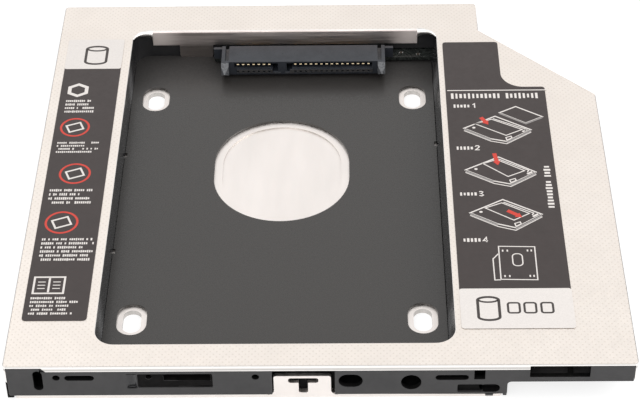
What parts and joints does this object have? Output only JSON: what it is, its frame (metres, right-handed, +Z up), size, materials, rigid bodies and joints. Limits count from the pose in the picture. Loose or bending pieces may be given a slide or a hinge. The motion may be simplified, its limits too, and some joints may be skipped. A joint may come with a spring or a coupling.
{
  "type": "laptop drive caddy",
  "caption": "Thin tray-shaped caddy that holds a 2.5 inch drive in the place of a laptop's slim optical drive, with a connector at the rear of its open bay.",
  "frame": {"origin": "middle of the bounding box's lower face, on the underside of the base plate", "axes": "+X to the right along the front edge, +Y from the front edge to the rear connector, +Z up through the open bay"},
  "size_m": [0.128, 0.1262, 0.0096],
  "materials": {
    "cover_sheet": "satin, finely embossed",
    "base_sheet": "satin",
    "black_plastic": "moulded, half gloss",
    "liner_film": "matt, fine grain",
    "board_lacquer": "lacquered board",
    "connector_resin": "moulded",
    "gold": "plated",
    "steel": "turned",
    "printed_film": "printed film"
  },
  "bodies": {
    "root": {"top_cover": "cover_sheet", "base_plate": "base_sheet", "moulded_frame": "black_plastic", "bay_liner": "liner_film", "circuit_board": "board_lacquer", "drive_connector": "connector_resin", "host_plug": "connector_resin", "left_label": "printed_film", "right_label": "printed_film", "base_screw_1": "steel", "base_screw_2": "steel", "base_screw_3": "steel", "base_screw_4": "steel", "board_screw_1": "steel", "board_screw_2": "steel", "drive_signal_contact_1": "gold", "drive_signal_contact_2": "gold", "drive_signal_contact_3": "gold", "drive_signal_contact_4": "gold", "drive_signal_contact_5": "gold", "drive_signal_contact_6": "gold", "drive_signal_contact_7": "gold", "drive_power_contact_1": "gold", "drive_power_contact_2": "gold", "drive_power_contact_3": "gold", "drive_power_contact_4": "gold", "drive_power_contact_5": "gold", "drive_power_contact_6": "gold", "drive_power_contact_7": "gold", "drive_power_contact_8": "gold", "drive_power_contact_9": "gold", "drive_power_contact_10": "gold", "drive_power_contact_11": "gold", "drive_power_contact_12": "gold", "drive_power_contact_13": "gold", "drive_power_contact_14": "gold", "drive_power_contact_15": "gold", "host_signal_contact_1": "gold", "host_signal_contact_2": "gold", "host_signal_contact_3": "gold", "host_signal_contact_4": "gold", "host_signal_contact_5": "gold", "host_signal_contact_6": "gold", "host_signal_contact_7": "gold", "host_power_contact_1": "gold", "host_power_contact_2": "gold", "host_power_contact_3": "gold", "host_power_contact_4": "gold", "host_power_contact_5": "gold", "host_power_contact_6": "gold"}
  },
  "joints": []
}
